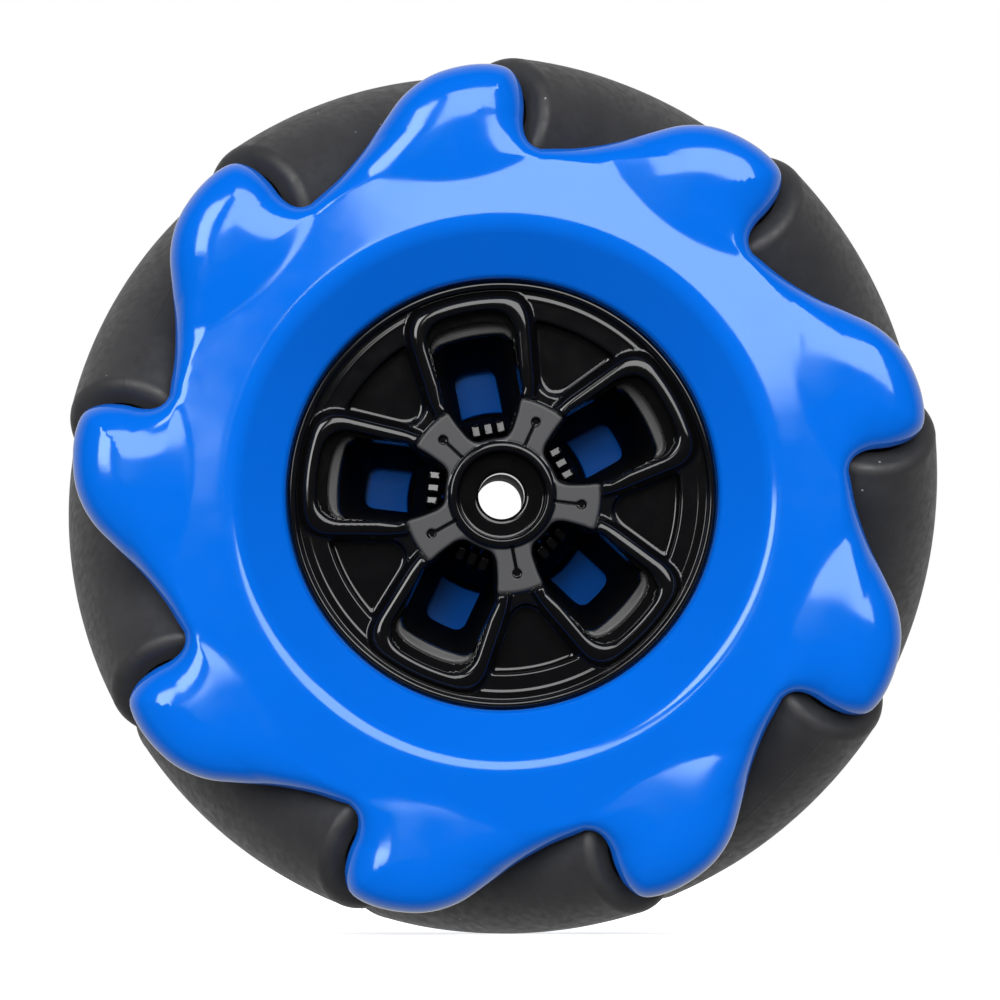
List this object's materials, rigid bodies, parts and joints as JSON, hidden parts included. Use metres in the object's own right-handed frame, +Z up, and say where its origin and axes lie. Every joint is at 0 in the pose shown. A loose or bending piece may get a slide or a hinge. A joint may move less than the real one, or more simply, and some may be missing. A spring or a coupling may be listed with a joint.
{
  "type": "mecanum wheel",
  "caption": "Omnidirectional robot wheel: two lobed plastic shells hold skewed rubber rollers round a spoked rim with a hexagon drive socket and an axle hole.",
  "frame": {"origin": "centre of the wheel, on its axle and midway between its two faces", "axes": "+Y along the axle towards the robot (the screwed, hexagon side), -Y towards the outer face, +Z up, +X to the right seen from the outer face"},
  "size_m": [0.0798, 0.0368, 0.0799],
  "materials": {
    "shell_blue": "glossy moulded ABS",
    "rim_black": "glossy moulded nylon",
    "roller_rubber": "satin rubber with fine dust",
    "core_nylon": "black",
    "bronze": "turned",
    "steel": "zinc plated"
  },
  "bodies": {
    "wheel": {"front_shell": "shell_blue", "rear_shell": "shell_blue", "rim": "rim_black", "rim_screw_1": "steel", "rim_screw_2": "steel", "rim_screw_3": "steel", "rim_screw_4": "steel", "rim_screw_5": "steel", "roller_pin_1": "steel", "roller_pin_2": "steel", "roller_pin_3": "steel", "roller_pin_4": "steel", "roller_pin_5": "steel", "roller_pin_6": "steel", "roller_pin_7": "steel", "roller_pin_8": "steel", "roller_pin_9": "steel"},
    "roller_1": {"roller_tyre_1": "roller_rubber", "roller_core_1": "core_nylon", "front_bush_1": "bronze", "rear_bush_1": "bronze"},
    "roller_2": {"roller_tyre_2": "roller_rubber", "roller_core_2": "core_nylon", "front_bush_2": "bronze", "rear_bush_2": "bronze"},
    "roller_3": {"roller_tyre_3": "roller_rubber", "roller_core_3": "core_nylon", "front_bush_3": "bronze", "rear_bush_3": "bronze"},
    "roller_4": {"roller_tyre_4": "roller_rubber", "roller_core_4": "core_nylon", "front_bush_4": "bronze", "rear_bush_4": "bronze"},
    "roller_5": {"roller_tyre_5": "roller_rubber", "roller_core_5": "core_nylon", "front_bush_5": "bronze", "rear_bush_5": "bronze"},
    "roller_6": {"roller_tyre_6": "roller_rubber", "roller_core_6": "core_nylon", "front_bush_6": "bronze", "rear_bush_6": "bronze"},
    "roller_7": {"roller_tyre_7": "roller_rubber", "roller_core_7": "core_nylon", "front_bush_7": "bronze", "rear_bush_7": "bronze"},
    "roller_8": {"roller_tyre_8": "roller_rubber", "roller_core_8": "core_nylon", "front_bush_8": "bronze", "rear_bush_8": "bronze"},
    "roller_9": {"roller_tyre_9": "roller_rubber", "roller_core_9": "core_nylon", "front_bush_9": "bronze", "rear_bush_9": "bronze"}
  },
  "joints": [
    {"name": "roller_1_spin", "type": "hinge", "parent": "wheel", "child": "roller_1", "pos_m": [0.01015, 0, 0.03035], "axis": [0.6706, 0.7071, -0.2244], "continuous": true},
    {"name": "roller_2_spin", "type": "hinge", "parent": "wheel", "child": "roller_2", "pos_m": [0.02728, 0, 0.01672], "axis": [0.3695, 0.7071, -0.6029], "continuous": true},
    {"name": "roller_3_spin", "type": "hinge", "parent": "wheel", "child": "roller_3", "pos_m": [0.03165, 0, -0.00473], "axis": [-0.1045, 0.7071, -0.6993], "continuous": true},
    {"name": "roller_4_spin", "type": "hinge", "parent": "wheel", "child": "roller_4", "pos_m": [0.0212, 0, -0.02397], "axis": [-0.5296, 0.7071, -0.4685], "continuous": true},
    {"name": "roller_5_spin", "type": "hinge", "parent": "wheel", "child": "roller_5", "pos_m": [0.00084, 0, -0.03199], "axis": [-0.7069, 0.7071, -0.0185], "continuous": true},
    {"name": "roller_6_spin", "type": "hinge", "parent": "wheel", "child": "roller_6", "pos_m": [-0.01992, 0, -0.02504], "axis": [-0.5534, 0.7071, 0.4402], "continuous": true},
    {"name": "roller_7_spin", "type": "hinge", "parent": "wheel", "child": "roller_7", "pos_m": [-0.03136, 0, -0.00638], "axis": [-0.141, 0.7071, 0.6929], "continuous": true},
    {"name": "roller_8_spin", "type": "hinge", "parent": "wheel", "child": "roller_8", "pos_m": [-0.02812, 0, 0.01527], "axis": [0.3374, 0.7071, 0.6214], "continuous": true},
    {"name": "roller_9_spin", "type": "hinge", "parent": "wheel", "child": "roller_9", "pos_m": [-0.01173, 0, 0.02977], "axis": [0.6579, 0.7071, 0.2592], "continuous": true}
  ]
}
